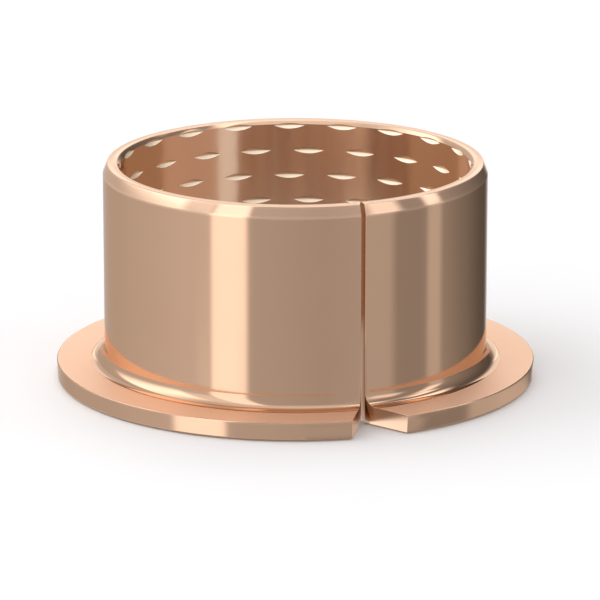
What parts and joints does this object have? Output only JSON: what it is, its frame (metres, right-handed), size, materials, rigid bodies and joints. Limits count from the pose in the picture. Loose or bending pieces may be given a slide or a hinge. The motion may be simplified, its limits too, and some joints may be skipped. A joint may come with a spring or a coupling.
{
  "type": "flanged bushing",
  "caption": "Round flanged sliding bushing rolled from bronze strip, with a butt seam, a V notch in its flange and rows of lens-shaped oil pockets in its bore.",
  "frame": {"origin": "centre of the flange's thrust face, the flat face that the bushing stands on", "axes": "+Z runs along the bore from the thrust face to the free end; -Y is the front; the seam lies 20 degrees from the front towards +X"},
  "size_m": [0.055, 0.055, 0.025],
  "materials": {
    "bronze": "smooth rolled bronze with a bright satin to polished surface"
  },
  "bodies": {
    "root": {"bushing": "bronze"}
  },
  "joints": []
}
